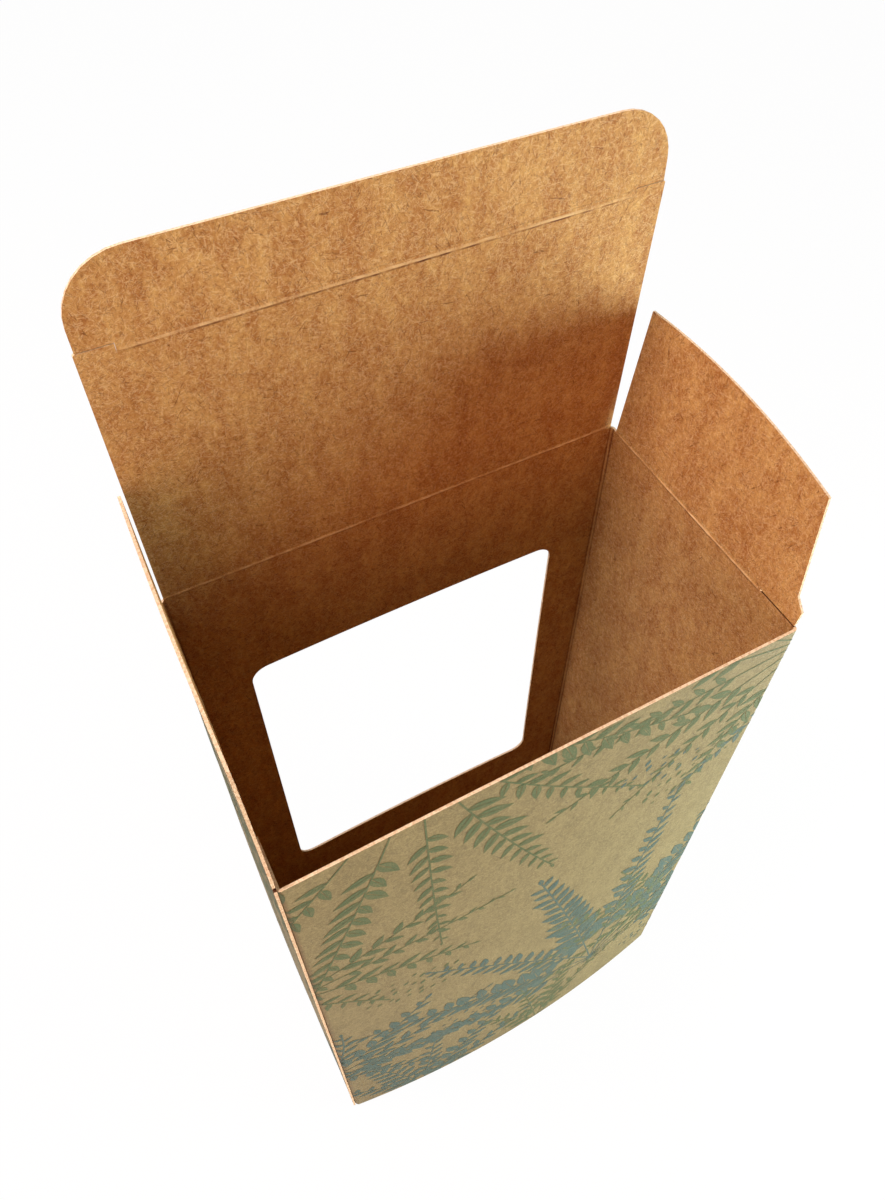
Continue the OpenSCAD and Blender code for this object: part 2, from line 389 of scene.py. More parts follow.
def finished_mesh(name, corners, faces, finish, sheet, origin, body, rub_and_painted_light):
    mesh = bpy.data.meshes.new(name)
    mesh.from_pydata(corners, [], faces)
    mesh.attributes.new("wear", "FLOAT", "POINT").data.foreach_set("value", rub_and_painted_light)
    for material in board_finishes:
        mesh.materials.append(material)
    mesh.polygons.foreach_set("material_index", finish)
    layer = mesh.uv_layers.new(name="sheet")
    places = [sheet[corner.vertex_index] for corner in mesh.loops]
    layer.data.foreach_set("uv", [(place[k] + origin[k]) * mm for place in places for k in (0, 1)])
    made = bmesh.new()
    made.from_mesh(mesh)
    loose = [v for v in made.verts if not v.link_faces]
    bmesh.ops.delete(made, geom=loose, context="VERTS")
    bmesh.ops.recalc_face_normals(made, faces=made.faces)
    made.to_mesh(mesh)
    made.free()
    mesh.shade_smooth()
    mesh.set_sharp_from_angle(angle=math.radians(38))
    piece = bpy.data.objects.new(name, mesh)
    bpy.context.scene.collection.objects.link(piece)
    if body:
        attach(piece, body)
    return piece


def steps(low, high, step):
    count = max(1, round((high - low) / step))
    return [low + (high - low) * i / count for i in range(count + 1)]


def rounded_box(x, y, w, h, r, parts=8):
    made = []
    for cx, cy, turn in ((1, 1, 0), (-1, 1, 90), (-1, -1, 180), (1, -1, 270)):
        for i in range(parts + 1):
            a = math.radians(turn + 90 * i / parts)
            made.append((
                x + cx * (w / 2 - r) + r * math.cos(a), y + cy * (h / 2 - r) + r * math.sin(a),
            ))
    return made


near_fold = (0, 0.15, 0.32, 0.5, 0.7, 0.95, 1.3, 1.9, 3, 5)
wall_columns = set()
for name, length in wall_length.items():
    low, high = wall_start[name], wall_start[name] + length
    wall_columns |= {low + s for s in near_fold if s < length / 2}
    wall_columns |= {high - s for s in near_fold if s < length / 2}
    wall_columns |= set(steps(low + near_fold[-1], high - near_fold[-1], 4))
    wall_columns |= set(steps(high, high + arc, 0.2)) if name != "glued" else set()
wall_columns = sorted(round(u, 4) for u in wall_columns)
wall_rows = steps(0, side_z, 1.6)

rear_middle = wall_start["rear"] + wall_length["rear"] / 2
front_middle = wall_start["front"] + half_w - fold_r
glue_top = side_z - board_t - clearance


def fillet(side):
    """Foot of the slot beside the lid, rounded up to the lid's edge."""
    made = []
    for i in range(5):
        a = math.radians(90 * i / 4)
        made.append((
            rear_middle + side * (lid_half + slot_fillet - slot_fillet * math.sin(a)),
            side_z + slot_fillet - slot_fillet * math.cos(a),
        ))
    return made


wall_outline = [
    (0, 0),
    (wall_start["glued"] - arc, 0),
    (wall_start["glued"], glue_foot),
    (strip_end, glue_foot + glue_slant),
    (strip_end, glue_top - glue_slant),
    (wall_start["glued"], glue_top),
    (wall_start["glued"] - arc, side_z),
    *fillet(1),
    (rear_middle + lid_half, lid_z),
    (rear_middle - lid_half, lid_z),
    *reversed(fillet(-1)),
    (0, side_z),
]
window_outline = rounded_box(rear_middle, window_sill + window_h / 2, window_w, window_h, window_r)
shoulder_cut = 10


def dust_slit(u, v):
    """The 10 mm at the front of each side wall's top where a knife slit frees the flap."""
    right_front = wall_start["right"] + wall_length["right"]
    left = -1 < u < shoulder_cut
    right = right_front - shoulder_cut < u < right_front
    return v > side_z - 0.2 and (left or right)


walls = cut_board(
    "carton_walls", wall_outline, [window_outline], wall_columns, wall_rows, on_walls,
    wear=fold_wear_and_painted_light, slit=dust_slit,
)


# The closed foot
# The rear wall's lower panel folds over the foot and its flap tucks up inside the front wall. Two
# dust flaps lie folded in on top of it.
foot_half = lid_half - clearance
foot_tuck, foot_radius = 15, 10
foot_flap = 27
foot_back = half_d - board_t + 0.1
foot_front = half_d - board_t - clearance
foot_flat = foot_back + foot_front - fold_r


def on_foot(x, w, depth):
    if w <= foot_flat:
        return Vector((x, foot_back - w, depth))
    a = min((w - foot_flat) / fold_r, math.pi / 2)
    up = max(w - foot_flat - arc, 0)
    return Vector((
        x,
        fold_r - foot_front - (fold_r - depth) * math.sin(a),
        fold_r - (fold_r - depth) * math.cos(a) + up,
    ))


def tuck_outline(half, low, high, radius, root_half=None, root=0):
    """A flap with two large rounded corners, and a narrower root where slits free its ends."""
    made = [(root_half or half, low), (root_half or half, low + root), (half, low + root)]
    for side, turns in ((1, range(9)), (-1, range(8, -1, -1))):
        for i in turns:
            a = math.radians(90 * i / 8)
            made.append((
                side * (half - radius + radius * math.cos(a)), high - radius + radius * math.sin(a),
            ))
    made += [(-half, low + root), (-(root_half or half), low + root), (-(root_half or half), low)]
    return [p for i, p in enumerate(made) if p != made[i - 1]]


foot_length = foot_flat + arc + foot_tuck - fold_r
foot_rows = steps(0, foot_flat, 6) + steps(foot_flat, foot_flat + arc, 0.2)
foot_rows += steps(foot_flat + arc, foot_length, 5)
foot_panel = cut_board(
    "foot_panel",
    tuck_outline(foot_half, 0, foot_length, foot_radius),
    [],
    steps(-foot_half, foot_half, 8),
    sorted(set(foot_rows)),
    on_foot,
    (rear_middle, -foot_length),
)


# Every dust flap has a crowned free edge that falls and tapers towards its front, and a shoulder
flap_drop, flap_taper, flap_crown, flap_gap = 3.5, 4, 2, 2
shoulder_u, shoulder_l, shoulder_step = 2 * half_d - board_t - clearance, 4, 2.2


def crown_outline(length, root):
    """A dust flap seen flat: from the rear face forwards, and from its crease to its free edge."""
    tip = shoulder_u - shoulder_step - flap_taper
    made = [(flap_gap, root)]
    for s in steps(0, 1, 1 / 14):
        made.append((flap_gap + s * (tip - flap_gap), length - s * flap_drop + flap_crown * bow(s)))
    made.append((shoulder_u - shoulder_step, shoulder_l + shoulder_step))
    return made + [(shoulder_u, shoulder_l), (shoulder_u, root)]


def on_foot_flap(side):
    root = half_w - board_t + 0.1
    return lambda u, w, depth: Vector((side * (root - w), half_d - u, board_t + depth))


foot_flaps = [
    cut_board(
        "foot_flap_" + name, crown_outline(foot_flap, 0), [], steps(0, 60, 10), steps(0, 30, 10),
        on_foot_flap(side), (300, 40 * side),
    )
    for name, side in (("left", -1), ("right", 1))
]
for piece in (walls, foot_panel, *foot_flaps):
    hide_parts("carton_body")


# The lid
# The top panel stands up in line with the rear wall. Two short slits at its far crease leave an ear
# at each end, behind which the dust flaps' shoulders lock the closed lid.
lid_lean, tuck_lean = 2, 4
lid_length = 2 * half_d - 2 * board_t - clearance
slit_half = half_w - board_t / 2 - shoulder_l - shoulder_step - clearance
slit_rise = 1.5 * board_t + clearance
crease_gap = board_t / 2 + clearance
ear_gap, ear_bevel = 0.06, 0.2
lid_bow = 0.35


def on_plate(foot, along, up, lean_out, warp=None):
    """A flat panel standing on its crease, whose board is centred on the crease's own plane."""
    def place(x, w, depth):
        d = board_t / 2 - depth + (warp(x, w) if warp else 0)
        return foot + along * x + up * w + lean_out * d
    return place


def lid_warp(x, w):
    return lid_bow * bow((x + lid_half) / (2 * lid_half)) * bow(w / lid_length)


def leaning(degrees):
    """Up a panel that leans over the carton, and out of its outer face."""
    a = math.radians(degrees)
    return Vector((0, -math.sin(a), math.cos(a))), Vector((0, math.cos(a), math.sin(a)))


lid_up, lid_out = leaning(lid_lean)
on_lid = on_plate(crease_at["lid_crease"], Vector((1, 0, 0)), lid_up, lid_out, lid_warp)
ear = slit_half + ear_gap
ear_top = lid_length + slit_rise
lid_outline = [
    (-lid_half, crease_gap), (lid_half, crease_gap),
    (lid_half, ear_top - ear_bevel), (lid_half - ear_bevel, ear_top), (ear, ear_top),
    (ear, lid_length - crease_gap), (-ear, lid_length - crease_gap),
    (-ear, ear_top), (ear_bevel - lid_half, ear_top), (-lid_half, ear_top - ear_bevel),
]
lid = cut_board(
    "lid_board", lid_outline, [], steps(-lid_half, lid_half, 6), steps(0, 60, 6), on_lid,
    (rear_middle, lid_z), "lid",
)
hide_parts("lid_panel")


# The tuck flap
# The lid's last panel, scored and slit at its root, with two large rounded corners so that it finds
# its way in behind the front wall.
tuck_half = lid_half - clearance
tuck_length, tuck_radius, tuck_bow = 15, 10, 0.2
on_tuck = on_plate(
    crease_at["tuck_crease"], Vector((1, 0, 0)), *leaning(lid_lean - tuck_lean),
    lambda x, w: tuck_bow * bow((x + tuck_half) / (2 * tuck_half)) * min(w / tuck_length, 1),
)
tuck_root = slit_rise + 0.1 - crease_gap
tuck = cut_board(
    "tuck_board",
    tuck_outline(tuck_half, crease_gap, tuck_length, tuck_radius, slit_half, tuck_root),
    [], steps(-tuck_half, tuck_half, 5), steps(0, 16, 4), on_tuck,
    (rear_middle, lid_z + lid_length), "tuck",
)
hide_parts("tuck_flap")


# The dust flaps
# One on each side wall, with a gently curved free edge. The front of each crease is cut through for
# 10 mm, which frees the shoulder that locks the lid.
flap_length, flap_bow = 31, 0.5
# The knife slit stays all but shut
slit_gap = 0.34
crease_end = 2 * half_d - shoulder_cut


def dust_flap(name, side, lean, sheet_u):
    a = math.radians(lean)
    foot = Vector((side * (half_w - board_t / 2), half_d, side_z))
    up = Vector((side * math.sin(a), 0, math.cos(a)))
    out = Vector((side * math.cos(a), 0, -math.sin(a)))
    place = on_plate(
        foot, Vector((0, -1, 0)), up, out,
        lambda u, w: flap_bow * bow(u / (2 * half_d)) * min(w / flap_length, 1) ** 2,
    )
    outline = crown_outline(flap_length, crease_gap)
    outline[-1:] = [(shoulder_u, slit_gap), (crease_end, slit_gap), (crease_end, crease_gap)]
    columns = steps(0, 60, 5) if side > 0 else steps(-60, 0, 5)
    piece = cut_board(
        name + "_dust_board", [(side * u, w) for u, w in outline], [], columns, steps(0, 34, 5),
        lambda u, w, depth: place(side * u, w, depth), (sheet_u, side_z), name + "_dust",
    )
    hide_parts("dust_flap_" + name)


flap_sides = (
    ("right", 1, 6, wall_start["right"] - fold_r),
    ("left", -1, 0, wall_start["rear"] - arc + fold_r),
)
for name, side, lean, sheet_u in flap_sides:
    dust_flap(name, side, lean, sheet_u)


# The creases
# Each scored crease is a weak line pressed into the outside, with a thin ridge of loosened fibres
# on the inside. It is the same board on both sides of it.
ridge = [
    (-0.78, -0.225), (-0.55, -0.258), (-0.32, -0.30), (-0.14, -0.43), (0.05, -0.46),
    (0.2, -0.38), (0.34, -0.29), (0.55, -0.258), (0.78, -0.225),
]
groove = [(0.78, 0.225), (0.42, 0.21), (0.14, 0.09), (-0.14, 0.09), (-0.42, 0.21), (-0.78, 0.225)]
ridge_fade, bend_reach = 7, 0.5


def crease(
    name, low, high, foot, along, up, out, origin, flip=1, pale=0.7, painted_hollow_shade=0.4, patchy=1.3
):
    section = ridge + groove
    stations = steps(low, high, 0.45)
    corners, sheet, rub_and_painted_light = [], [], []
    for s in stations:
        rough = 1 + 0.5 * noise.noise(Vector((s * 0.6, foot.z * 0.1, foot.x * 0.1)))
        # The ridge comes and goes along its length and dies away at both ends
        fade = min((s - low) / ridge_fade, (high - s) / ridge_fade, 1) ** 0.5
        fade *= min(max(0.8 + patchy * noise.noise(Vector((s * 0.09, foot.z, foot.x))), 0.15), 1)
        for k, (w, d) in enumerate(section):
            if 1 < k < 7:
                d = -0.25 + (d + 0.25) * rough * (0.35 + 0.65 * fade)
            corners.append((foot + along * s + up * w + out * d) * mm)
            sheet.append((s * flip, w))
            # The ridge's top is painted pale, for loosened fibres and as a painted highlight; one
            # side of its foot, below it, is painted dark as shade
            fray_and_shade = fade * (0.8 + noise.noise(Vector((s * 0.5, k * 0.2, foot.z))))
            rub_and_painted_light.append(pale * fray_and_shade if 3 <= k <= 5 else -painted_hollow_shade * fray_and_shade if k in (1, 2) else 0)
    n = len(section)
    faces, finish = [], []
    for i in range(len(stations) - 1):
        for k in range(n):
            a, b = i * n + k, i * n + (k + 1) % n
            faces.append((a, b, b + n, a + n))
            finish.append(inner_face if k < len(ridge) - 1 else outer_face)
    faces += [tuple(range(n)), tuple(range(len(corners) - n, len(corners)))]
    finish += [cut_face, cut_face]
    piece = finished_mesh(name, corners, faces, finish, sheet, origin, None, rub_and_painted_light)
    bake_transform(piece)


crease_z = Vector((0, 0, 1))
back = Vector((0, 1, 0))
right = Vector((1, 0, 0))
crease(
    "lid_crease_board", -lid_half, lid_half, crease_at["lid_crease"], right, crease_z, back,
    (rear_middle, lid_z),
)
# The tuck crease's painted shade line beside its ridge is stronger
crease(
    "tuck_crease_board", -slit_half, slit_half, crease_at["tuck_crease"], right, lid_up, lid_out,
    (rear_middle, lid_z + lid_length), pale=0.65, painted_hollow_shade=0.9, patchy=0.5,
)
for name, side, _, sheet_u in flap_sides:
    foot = Vector((side * (half_w - board_t / 2), half_d, side_z))
    crease(
        name + "_dust_crease_board", flap_gap, crease_end, foot, -back, crease_z, right * side,
        (sheet_u, side_z), side,
    )


# The print
# Two inks, sage and teal, printed flat on the outside before the board was cut: leafy sprays and
# scattered seeds that run on over the folds. Ink is thin, so the kraft shows through it.
sage_ink = board_material("sage_ink_on_kraft", *outer_kraft, 0.6, 0.25, "#42592e")
teal_ink = board_material("teal_ink_on_kraft", *outer_kraft, 0.6, 0.25, "#2f5752")
ink_lift = 0.05
leaf_parts, leaf_sway, leaf_least, leaf_most, tip_slimming = 6, 0.14, 0.86, 1.12, 0.62


def leaf_shape(name, width, vein, fullest):
    """A leaf of unit length in two halves, with bare board left between them as its vein."""
    corners, faces = [], []
    for side in (1, -1):
        first = len(corners)
        shares = [i / leaf_parts for i in range(leaf_parts + 1)]
        wide = [vein * (1 - t) + width * math.sin(math.pi * t**fullest) for t in shares]
        edge = [(t, side * w) for t, w in zip(shares, wide)]
        spine = [(t, side * vein * (1 - t)) for t in reversed(shares[1:-1])]
        corners += [(x, y, 0) for x, y in edge + spine]
        faces.append(tuple(range(first, len(corners))))
    mesh = bpy.data.meshes.new(name)
    mesh.from_pydata(corners, [], faces)
    return bpy.data.objects.new(name, mesh)


def new_tree(name, inputs):
    tree = bpy.data.node_groups.new(name, "GeometryNodeTree")
    tree.interface.new_socket("Geometry", in_out="INPUT", socket_type="NodeSocketGeometry")
    for label, kind in inputs.items():
        tree.interface.new_socket(label, in_out="INPUT", socket_type="NodeSocket" + kind)
    tree.interface.new_socket("Geometry", in_out="OUTPUT", socket_type="NodeSocketGeometry")
    return tree, add(tree, "NodeGroupInput").outputs


def close_tree(tree, geometry, ink):
    plain = add(tree, "GeometryNodeRealizeInstances", {0: geometry})
    inked = add(tree, "GeometryNodeSetMaterial", {0: plain.outputs[0], "Material": ink})
    add(tree, "NodeGroupOutput", {0: inked.outputs[0]})
    return tree


def spray_tree():
    """Leaves on alternate sides of each stem, smaller towards its tip, and the stem itself."""
    tree, given = new_tree("leafy_sprays", {
        "Leaf": "Object", "Leaf spacing": "Float", "Leaf angle": "Float", "Stem width": "Float",
        "Bare stem": "Float", "Seed": "Int", "Ink": "Material",
    })

    def sums(operation, a, b):
        return add(tree, "ShaderNodeMath", {0: a, 1: b}, operation=operation).outputs[0]

    stem = add(tree, "GeometryNodeMeshToCurve", {0: given["Geometry"]}).outputs[0]
    half = sums("MULTIPLY", given["Stem width"], 0.5)
    low = add(tree, "ShaderNodeCombineXYZ", {0: sums("MULTIPLY", half, -1)}).outputs[0]
    high = add(tree, "ShaderNodeCombineXYZ", {0: half}).outputs[0]
    ribbon = add(tree, "GeometryNodeCurvePrimitiveLine", {"Start": low, "End": high}).outputs[0]
    flat = add(tree, "GeometryNodeSetCurveNormal", {0: stem})
    stems = add(tree, "GeometryNodeCurveToMesh", {0: flat.outputs[0], 1: ribbon}).outputs[0]
    values = {0: stem, "Start": given["Bare stem"], "End": 1.0}
    leafy = add(tree, "GeometryNodeTrimCurve", values).outputs[0]
    values = {0: leafy, "Length": given["Leaf spacing"]}
    joints = add(tree, "GeometryNodeResampleCurve", values, mode="LENGTH").outputs[0]
    along = add(tree, "GeometryNodeSplineParameter").outputs["Factor"]
    order = add(tree, "GeometryNodeInputIndex").outputs[0]
    side = sums("SUBTRACT", 1, sums("MULTIPLY", sums("MODULO", order, 2), 2))
    tip = sums("LESS_THAN", along, 0.995)
    turned = sums("MULTIPLY", sums("MULTIPLY", side, given["Leaf angle"]), tip)
    values = {2: -leaf_sway, 3: leaf_sway, "Seed": given["Seed"]}
    sway = add(tree, "FunctionNodeRandomValue", values).outputs[1]
    euler = add(tree, "ShaderNodeCombineXYZ", {2: sums("ADD", turned, sway)}).outputs[0]
    lean = add(tree, "FunctionNodeEulerToRotation", {0: euler}).outputs[0]
    ahead = add(tree, "GeometryNodeInputTangent").outputs[0]
    heading = add(tree, "FunctionNodeAlignRotationToVector", {"Vector": ahead}, axis="X").outputs[0]
    turn = add(
        tree, "FunctionNodeRotateRotation", {0: heading, 1: lean}, rotation_space="LOCAL"
    ).outputs[0]
    size = add(tree, "GeometryNodeInputNamedAttribute", {"Name": "leaf"}).outputs[0]
    slim = sums("SUBTRACT", 1, sums("MULTIPLY", sums("POWER", along, 1.6), tip_slimming))
    values = {2: leaf_least, 3: leaf_most, "Seed": given["Seed"]}
    vary = add(tree, "FunctionNodeRandomValue", values).outputs[1]
    scale = sums("MULTIPLY", sums("MULTIPLY", size, slim), vary)
    leaf = add(tree, "GeometryNodeObjectInfo", {0: given["Leaf"]}).outputs["Geometry"]
    values = {0: joints, "Instance": leaf, "Rotation": turn, "Scale": scale}
    leaves = add(tree, "GeometryNodeInstanceOnPoints", values).outputs[0]
    joined = add(tree, "GeometryNodeJoinGeometry")
    tree.links.new(stems, joined.inputs[0])
    tree.links.new(leaves, joined.inputs[0])
    return close_tree(tree, joined.outputs[0], given["Ink"])


def seed_tree():
    """Loose seeds strewn over an area, no two touching."""
    tree, given = new_tree("strewn_seeds", {
        "Shape": "Object", "Distance": "Float", "Seed": "Int", "Ink": "Material",
    })
    values = {
        0: given["Geometry"], "Distance Min": given["Distance"], "Density Max": 1.0,
        "Seed": given["Seed"],
    }
    strewn = add(
        tree, "GeometryNodeDistributePointsOnFaces", values, distribute_method="POISSON"
    ).outputs[0]
    turn = add(tree, "FunctionNodeRandomValue", {2: 0.2, 3: 1.3, "Seed": given["Seed"]}).outputs[1]
    euler = add(tree, "ShaderNodeCombineXYZ", {2: turn}).outputs[0]
    rotation = add(tree, "FunctionNodeEulerToRotation", {0: euler}).outputs[0]
    size = add(tree, "FunctionNodeRandomValue", {2: 1.0, 3: 2.6, "Seed": given["Seed"]}).outputs[1]
    shape = add(tree, "GeometryNodeObjectInfo", {0: given["Shape"]}).outputs["Geometry"]
    seeds = add(
        tree, "GeometryNodeInstanceOnPoints",
        {0: strewn, "Instance": shape, "Rotation": rotation, "Scale": size},
    ).outputs[0]
    return close_tree(tree, seeds, given["Ink"])


def grown(mesh, tree, inputs):
    """The plain flat mesh that a tree makes from a base mesh."""
    base = bpy.data.objects.new(mesh.name, mesh)
    bpy.context.scene.collection.objects.link(base)
    modifier = base.modifiers.new("grow", "NODES")
    modifier.node_group = tree
    for item in tree.interface.items_tree:
        if item.in_out == "INPUT" and item.name in inputs:
            modifier[item.identifier] = inputs[item.name]
    bpy.context.view_layer.update()
    depsgraph = bpy.context.evaluated_depsgraph_get()
    made = bpy.data.meshes.new_from_object(base.evaluated_get(depsgraph))
    base.modifiers.remove(modifier)
    bpy.data.objects.remove(base)
    return made


def stem_lines(name, sprays):
    """Stems as polylines on the flat sheet: foot, heading, length, curl and leaf length."""
    mesh = bpy.data.meshes.new(name)
    corners, edges, sizes = [], [], []
    for x, z, heading, length, curl, leaf in sprays:
        count = max(6, round(length / 4))
        a = math.radians(heading)
        for i in range(count + 1):
            if i:
                edges.append((len(corners) - 1, len(corners)))
                x += length / count * math.cos(a)
                z += length / count * math.sin(a)
                a += math.radians(curl) / count
            corners.append((x, z, 0))
            sizes.append(leaf)
    mesh.from_pydata(corners, edges, [])
    mesh.attributes.new("leaf", "FLOAT", "POINT").data.foreach_set("value", sizes)
    return mesh


def area_mesh(name, areas):
    """Oval areas on the flat sheet: middle, width, height and lean."""
    mesh = bpy.data.meshes.new(name)
    corners, faces, oval_parts = [], [], 16
    for x, z, w, h, lean in areas:
        first = len(corners)
        c, s = math.cos(math.radians(lean)), math.sin(math.radians(lean))
        for i in range(oval_parts):
            a = math.tau * i / oval_parts
            px, pz = w / 2 * math.cos(a), h / 2 * math.sin(a)
            corners.append((x + px * c - pz * s, z + px * s + pz * c, 0))
        faces.append(tuple(range(first, first + oval_parts)))
    mesh.from_pydata(corners, [], faces)
    return mesh


def flat_print(meshes, copies=(0,)):
    """Flat print in one mesh, repeated at each copy's place along the strip."""
    made = bmesh.new()
    for shift in copies:
        first = len(made.verts)
        for mesh in meshes:
            made.from_mesh(mesh)
        bmesh.ops.translate(made, verts=made.verts[first:], vec=(shift, 0, 0))
    return made


def trimmed(made, cuts):
    """Cuts flat print along lines: a place, a direction, and whether what lies beyond it goes."""
    for place, direction, clear in cuts:
        everything = made.verts[:] + made.edges[:] + made.faces[:]
        bmesh.ops.bisect_plane(
            made, geom=everything, plane_co=place, plane_no=direction, clear_outer=clear
        )


def printed(name, made, place, origin, ink, body):
    """Lays flat print just proud of the board's outer face."""
    bmesh.ops.triangulate(made, faces=made.faces[:])
    made.verts.index_update()
    flat = [tuple(v.co[:2]) for v in made.verts]
    layer = made.loops.layers.uv.new("sheet")
    for v, (x, z) in zip(made.verts, flat):
        v.co = place(x, z, -ink_lift) * mm
    for face in made.faces:
        for loop in face.loops:
            x, z = flat[loop.vert.index]
            loop[layer].uv = ((origin[0] + origin[2] * x) * mm, (origin[1] + z) * mm)
        x, z = (sum(flat[v.index][k] for v in face.verts) / len(face.verts) for k in (0, 1))
        face.normal_update()
        if face.normal.dot(place(x, z, -1) - place(x, z, 0)) < 0:
            face.normal_flip()
    mesh = bpy.data.meshes.new(name)
    made.to_mesh(mesh)
    made.free()
    mesh.materials.clear()
    mesh.materials.append(ink)
    piece = bpy.data.objects.new(name, mesh)
    bpy.context.scene.collection.objects.link(piece)
    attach(piece, body)


spray = spray_tree()
strew = seed_tree()
broad = leaf_shape("broad_leaf", 0.2, 0.016, 0.85)
narrow = leaf_shape("narrow_leaf", 0.17, 0.018, 0.75)
seed = leaf_shape("seed", 0.24, 0, 1)

tuft_foot = 5


def tuft(x, z, heading, sweep, count, length, curl, leaf):
    """Sprays from one foot, fanned out about a heading, each bending away from its middle."""
    made = []
    for i in range(count):
        share = i / (count - 1) - 0.5
        reach = length * (1 - 0.7 * share * share + 0.1 * math.cos(7 * i + x))
        size = leaf * (0.85 + 0.3 * (i % 2))
        foot = x + tuft_foot * share
        made.append((foot, z, heading + sweep * share, reach, curl * share, size))
    return made


def tufts(rows):
    return [stem for row in rows for stem in tuft(*row)]


# Each row is a tuft: its foot across and up, heading, sweep, number of sprays, length, curl and
# leaf length. Across runs from the middle of the front to the right, round the carton and back to
# the front left fold.
teal_sprays = tufts([
    (24, 26, 84, 150, 9, 100, 40, 9), (-56, 44, 20, 100, 5, 50, 46, 7),
    (-30, -10, 84, 80, 5, 58, 30, 7), (86, 178, -92, 70, 5, 92, 30, 7.5),
    (90, -6, 90, 66, 5, 82, 30, 7), (241, -6, 88, 70, 5, 104, 30, 7.5),
    (150, -6, 90, 110, 6, 40, 20, 5),
])
sage_sprays = tufts([
    (-26, 190, -98, 124, 8, 82, 36, 6.5), (57, 168, 190, 84, 6, 66, 40, 6),
    (57, 44, 168, 74, 5, 58, 36, 6), (8, -8, 90, 50, 4, 52, 24, 6),
    (-58, 122, -14, 60, 4, 46, 30, 5.5), (60, 100, 40, 60, 4, 50, 30, 6),
    (241, 180, -90, 80, 6, 78, 30, 6.5), (180, -6, 96, 90, 5, 38, 20, 5),
])
# One long spray up each side of the window
sage_sprays += [(115, 28, 90, 132, -1, 5), (203.4, 28, 90, 132, 1, 5)]
lid_sprays = tufts([(-20, -4, 92, 110, 7, 60, 40, 6), (34, 60, -100, 90, 5, 44, 36, 5.5)])
teal_way = {
    "Leaf": broad, "Leaf spacing": 2.5, "Leaf angle": 0.82, "Stem width": 0.42,
    "Bare stem": 0.22, "Seed": 4, "Ink": teal_ink,
}
sage_way = {
    "Leaf": narrow, "Leaf spacing": 2.3, "Leaf angle": 0.82, "Stem width": 0.36,
    "Bare stem": 0.3, "Seed": 7, "Ink": sage_ink,
}
seed_way = {"Shape": seed, "Distance": 2.6, "Seed": 3, "Ink": sage_ink}
teal_print = grown(stem_lines("teal_stems", teal_sprays), spray, teal_way)
sage_print = grown(stem_lines("sage_stems", sage_sprays), spray, sage_way)
lid_print = grown(stem_lines("lid_stems", lid_sprays), spray, sage_way)
sage_areas = [
    (-30, 92, 26, 14, -24), (36, 134, 28, 12, 30), (78, 76, 34, 20, 8), (241, 92, 40, 12, 0),
]
teal_areas = [(-16, 44, 30, 14, 30), (44, 14, 14, 12, 0), (26, 142, 22, 10, -20)]
sage_seeds = grown(area_mesh("sage_seed_areas", sage_areas), strew, seed_way)
teal_seed_way = {**seed_way, "Seed": 9, "Ink": teal_ink}
teal_seeds = grown(area_mesh("teal_seed_areas", teal_areas), strew, teal_seed_way)

# The print stops just short of each edge, and below the dust flaps' creases, clear of a flap folded
# right out
sheet_round = wall_start["glued"] - arc / 2
print_gap, rim_gap, flap_room = 0.3, 0.15, 0.95
rightwards, leftwards, upwards, downwards = (1, 0, 0), (-1, 0, 0), (0, 1, 0), (0, -1, 0)
window_x = front_middle - rear_middle
window_top = window_sill + window_h
wall_cuts = [
    ((front_middle - raw_edge_gap, 0, 0), rightwards, True),
    ((front_middle - wall_start["glued"] + print_gap, 0, 0), leftwards, True),
    ((0, print_gap, 0), downwards, True),
    ((0, side_z - rim_gap, 0), upwards, True),
    ((0, side_z - flap_room, 0), upwards, False),
    ((0, window_sill - print_gap, 0), upwards, False),
    ((0, window_top + print_gap, 0), upwards, False),
]
for side in (-1, 1):
    wall_cuts.append(((window_x + side * (window_w / 2 + print_gap), 0, 0), rightwards, False))
for u in wall_columns:
    if u < wall_start["glued"]:
        wall_cuts.append(((front_middle - u, 0, 0), rightwards, False))
flap_cuts = []
for name in ("left", "right"):
    low, high = wall_start[name] - arc, wall_start[name] + wall_length[name] + 0.01
    middle = front_middle - (low + high) / 2
    flap_cuts.append(rounded_box(middle, side_z, high - low, 2 * flap_room - 0.02, 0.01, 1))
window_cut = rounded_box(
    window_x, window_sill + window_h / 2,
    window_w + 2 * print_gap, window_h + 2 * print_gap, window_r + print_gap,
)
lid_print_top, lid_print_foot = 56, 0.9
lid_cuts = [
    ((0, lid_print_foot, 0), downwards, True), ((0, lid_print_top, 0), upwards, True),
    ((lid_half - print_gap, 0, 0), rightwards, True),
    ((print_gap - lid_half, 0, 0), leftwards, True),
]


def on_print(x, z, depth):
    return on_walls(front_middle - x, z, depth)


for name, meshes, ink in (
    ("teal_print", [teal_print, teal_seeds], teal_ink),
    ("sage_print", [sage_print, sage_seeds], sage_ink),
):
    made = flat_print(meshes, (0, sheet_round))
    trimmed(made, wall_cuts)
    corners = list(made.verts)
    inside = loop_inside(np.array([tuple(v.co[:2]) for v in corners]), [window_cut, *flap_cuts])
    hanging = [v for v, out in zip(corners, inside) if out]
    bmesh.ops.delete(made, geom=hanging, context="VERTS")
    printed(name, made, on_print, (front_middle, 0, -1), ink, "carton")
made = flat_print([lid_print])
trimmed(made, lid_cuts)
printed("lid_print", made, on_lid, (rear_middle, lid_z, 1), sage_ink, "lid")
for shape in (broad, narrow, seed):
    bpy.data.objects.remove(shape)


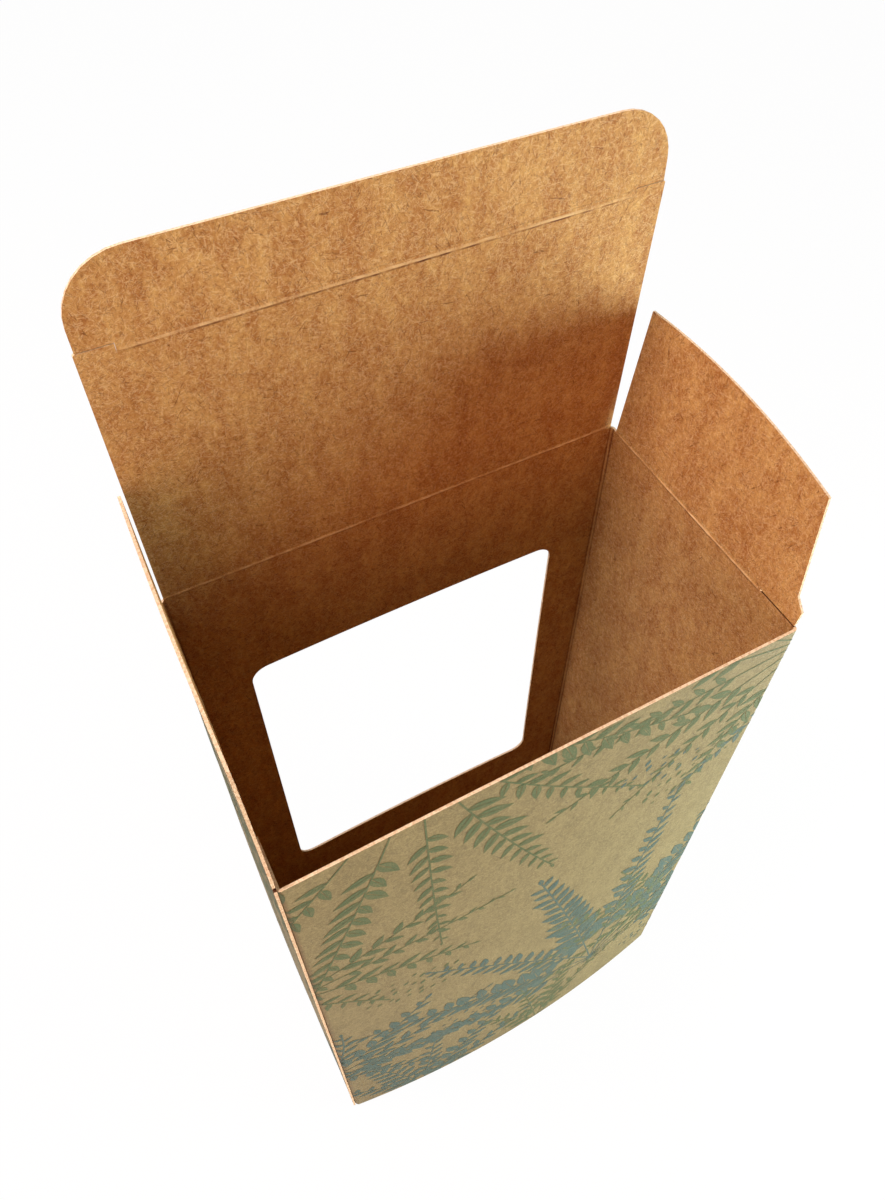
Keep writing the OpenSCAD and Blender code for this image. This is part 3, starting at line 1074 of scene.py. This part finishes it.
# The studio
# A plain pale floor, a pale surround and soft lamps. The floor looks white to the camera but keeps
# the carton's shadow.
def seen_share(tree):
    """One for rays that show the room itself: straight, mirrored or through glass."""
    rays = add(tree, "ShaderNodeLightPath").outputs
    seen = rays["Is Camera Ray"]
    for kind in ("Is Glossy Ray", "Is Transmission Ray"):
        seen = add(tree, "ShaderNodeMath", {0: seen, 1: rays[kind]}, operation="MAXIMUM").outputs[0]
    return seen


floor_glow = 0.975


def pale_floor():
    made = bpy.data.materials.new("matt_white_floor")
    made.use_nodes = True
    tree = made.node_tree
    surface = tree.nodes["Principled BSDF"]
    surface.inputs["Base Color"].default_value = (0.9, 0.9, 0.9, 1)
    surface.inputs["Roughness"].default_value = 0.9
    values = {0: seen_share(tree), 1: floor_glow}
    share = add(tree, "ShaderNodeMath", values, operation="MULTIPLY").outputs[0]
    glow = add(tree, "ShaderNodeEmission", {"Color": (1, 1, 1, 1), "Strength": 1}).outputs[0]
    mixed = add(tree, "ShaderNodeMixShader", {0: share, 1: surface.outputs[0], 2: glow})
    tree.links.new(mixed.outputs[0], tree.nodes["Material Output"].inputs["Surface"])
    return made


floor_half, floor_drop = 4, 0.0002
floor_mesh = bpy.data.meshes.new("floor")
floor_corners = [(-1, -1, 0), (1, -1, 0), (1, 1, 0), (-1, 1, 0)]
floor_mesh.from_pydata([Vector(c) * floor_half for c in floor_corners], [], [(0, 1, 2, 3)])
floor_mesh.materials.append(pale_floor())
floor = bpy.data.objects.new("floor", floor_mesh)
floor.location.z = -floor_drop
bpy.context.scene.collection.objects.link(floor)

# The surround gives the carton a little warm fill, and looks white behind it
ambient = 0.12
world = bpy.data.worlds.new("pale_room")
bpy.context.scene.world = world
world.use_nodes = True
room = world.node_tree
seen = seen_share(room)
strength = add(room, "ShaderNodeMapRange", {"Value": seen, "To Min": ambient, "To Max": 1})
room.links.new(strength.outputs[0], room.nodes["Background"].inputs["Strength"])
values = {0: seen, 6: (1, 0.62, 0.4, 1), 7: (1, 1, 1, 1)}
tint = add(room, "ShaderNodeMix", values, data_type="RGBA")
room.links.new(tint.outputs[2], room.nodes["Background"].inputs["Color"])


def soft_lamp(name, place, aim, size, power, colour=(1, 1, 1)):
    lamp = bpy.data.lights.new(name, "AREA")
    lamp.shape = "DISK"
    lamp.size = size
    lamp.energy = power
    lamp.color = colour
    made = bpy.data.objects.new(name, lamp)
    bpy.context.scene.collection.objects.link(made)
    made.location = place
    made.rotation_euler = (Vector(aim) - Vector(place)).to_track_quat("-Z", "Y").to_euler()


soft_lamp("right_softbox", (0.27, -0.175, 0.098), (0, 0, 0.2), 0.24, 1.85, (0.88, 1, 0.98))
soft_lamp("front_card", (-0.2, -0.42, 0.235), (0, 0.03, 0.2), 0.35, 0.84, (1, 0.42, 0.28))
soft_lamp("rear_card", (0.05, 0.42, 0.85), (0, 0.03, 0.14), 0.35, 1.8)
soft_lamp("left_softbox", (-0.35, 0.05, 0.8), (0.05, 0, 0.13), 0.25, 5.7, (1, 0.8, 0.78))

bpy.context.scene.view_settings.view_transform = "Standard"
